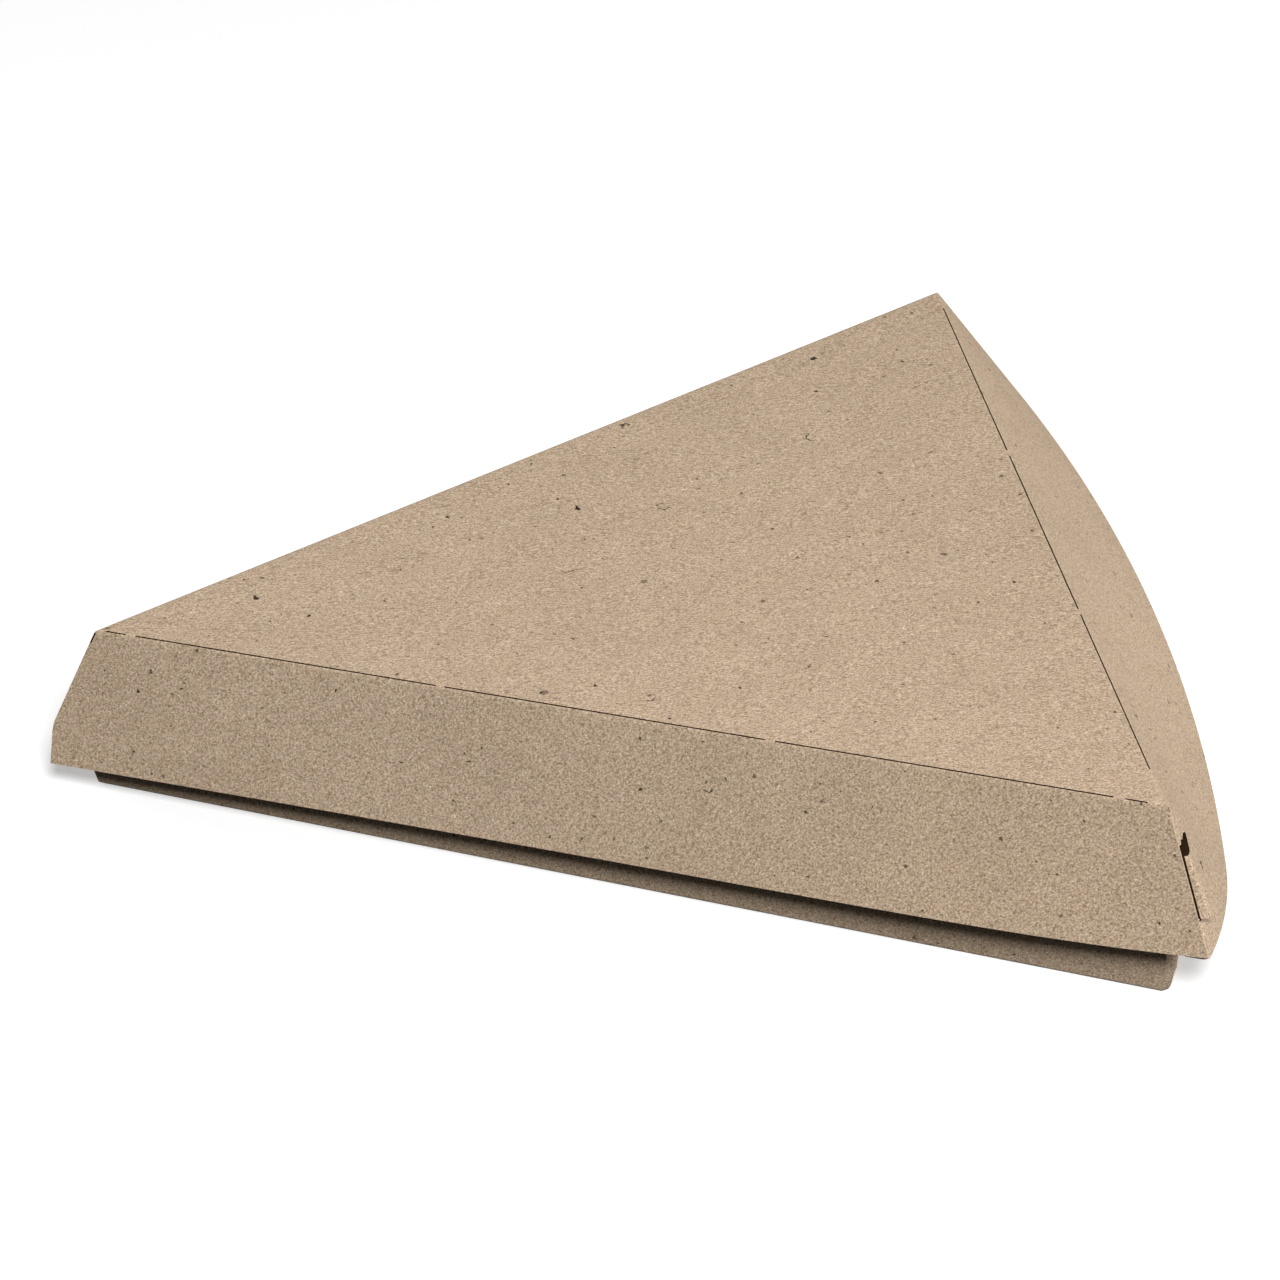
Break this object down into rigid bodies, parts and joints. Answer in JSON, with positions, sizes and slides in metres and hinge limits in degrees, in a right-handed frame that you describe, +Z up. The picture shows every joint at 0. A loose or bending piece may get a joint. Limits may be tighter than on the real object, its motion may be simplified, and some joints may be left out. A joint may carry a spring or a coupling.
{
  "type": "pizza slice box",
  "caption": "Plain kraft board pizza slice box, folded from one blank: a wedge tray and a book-style lid that stands slightly ajar.",
  "frame": {"origin": "middle of the whole box's footprint, on the table under the tray", "axes": "+X from the tip of the slice to the crust end, +Z up, +Y towards the long side with the lid's fold"},
  "size_m": [0.2387, 0.2277, 0.0444],
  "materials": {
    "kraft_board": "matt, unprinted, fine fibres and specks"
  },
  "bodies": {
    "tray": {"tray": "kraft_board"},
    "lid": {"lid": "kraft_board"}
  },
  "joints": [
    {"name": "lid_hinge", "type": "hinge", "parent": "tray", "child": "lid", "pos_m": [-0.10951, 0.00442, 0.0161], "axis": [-0.8876, -0.4605, 0], "range_deg": [-1.8, 145]}
  ]
}
